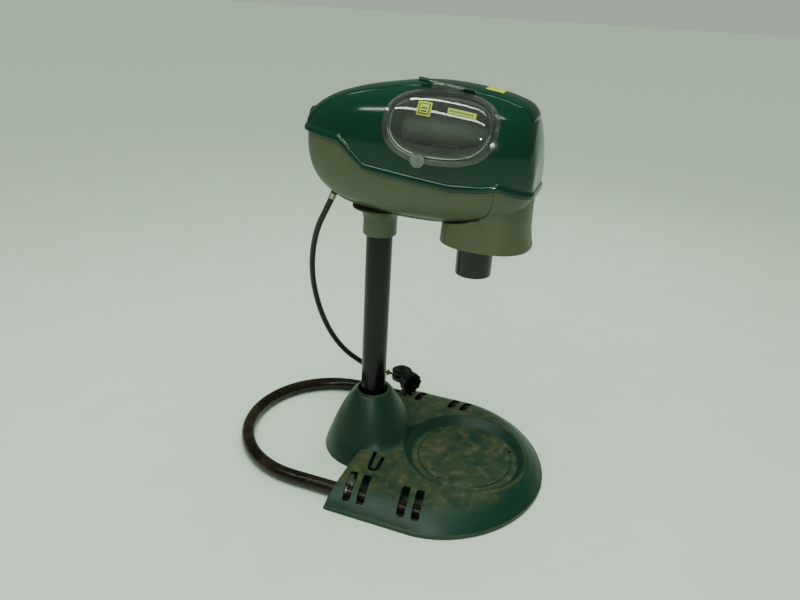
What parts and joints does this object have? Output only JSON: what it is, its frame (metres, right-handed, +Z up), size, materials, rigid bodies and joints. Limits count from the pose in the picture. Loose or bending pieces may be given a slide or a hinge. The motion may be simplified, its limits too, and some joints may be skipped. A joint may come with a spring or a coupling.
{
  "type": "propane mosquito trap",
  "caption": "Outdoor insect trap: a fan head with a clear net door on a post, over a moulded base that seats a gas cylinder, with a gas hose and regulator.",
  "frame": {"origin": "centre of the post's foot on the ground", "axes": "+Z up along the post, +X forward from the post over the cylinder seat, -Y towards the net door"},
  "size_m": [0.7469, 0.516, 0.8733],
  "materials": {
    "base_green": "satin",
    "cover_green": "gloss",
    "tan": "satin",
    "dark_paint": "satin",
    "black_plastic": "matte",
    "clear_plastic": "gloss",
    "zinc": "satin",
    "steel": "satin",
    "black_rubber": "matte",
    "cast_alloy": "satin",
    "brass": "satin",
    "net": "matte",
    "board": "satin",
    "galvanised": "matte"
  },
  "bodies": {
    "stand": {"base_shell": "base_green", "base_hoop": "dark_paint", "hoop_end_plugs": "black_plastic", "hoop_clamps": "galvanised", "hoop_clamp_screws": "zinc", "base_feet": "black_rubber", "post": "dark_paint", "post_foot_plug": "black_plastic", "post_bush": "black_plastic", "post_bolt": "zinc", "post_bolt_nut": "zinc", "head_cover": "cover_green", "hinge_pin": "steel", "head_bowl": "tan", "head_chassis": "tan", "collar_screw": "zinc", "inner_shelf": "galvanised", "intake_hood": "black_plastic", "plume_tube": "black_plastic", "plume_spider": "galvanised", "burner": "cast_alloy", "gas_valve": "cast_alloy", "gas_inlet_fitting": "brass", "gas_feed_pipe": "brass", "fan_shroud": "black_plastic", "fan_motor": "dark_paint", "net_frame": "black_plastic", "catch_net": "net", "board_standoffs": "brass", "control_board": "board", "switch_body": "black_plastic", "power_inlet": "black_plastic", "shelf_pillars": "tan", "gas_hose": "black_rubber", "hose_ferrules": "zinc", "regulator_nipple": "brass", "regulator_body": "cast_alloy", "regulator_lid": "cast_alloy", "inlet_stem": "brass", "coupling_nut": "black_plastic"},
    "door": {"net_door": "clear_plastic"},
    "latch": {"door_latch": "clear_plastic"},
    "impeller": {"fan_impeller": "black_plastic"},
    "switch": {"power_switch": "black_plastic"}
  },
  "joints": [
    {"name": "net_door_hinge", "type": "hinge", "parent": "stand", "child": "door", "pos_m": [0.142, -0.0485, 0.862], "axis": [-0.9925, 0, 0.1219], "range_deg": [0, 100]},
    {"name": "door_latch_turn", "type": "hinge", "parent": "door", "child": "latch", "pos_m": [0.113, -0.112, 0.734], "axis": [0, -1, 0], "range_deg": [0, 90]},
    {"name": "fan_spin", "type": "hinge", "parent": "stand", "child": "impeller", "pos_m": [0.008, 0, 0.765], "axis": [1, 0, 0], "continuous": true},
    {"name": "power_switch_rock", "type": "hinge", "parent": "stand", "child": "switch", "pos_m": [0.03, 0.09, 0.655], "axis": [0, 0, 1], "range_deg": [-7, 7]}
  ]
}
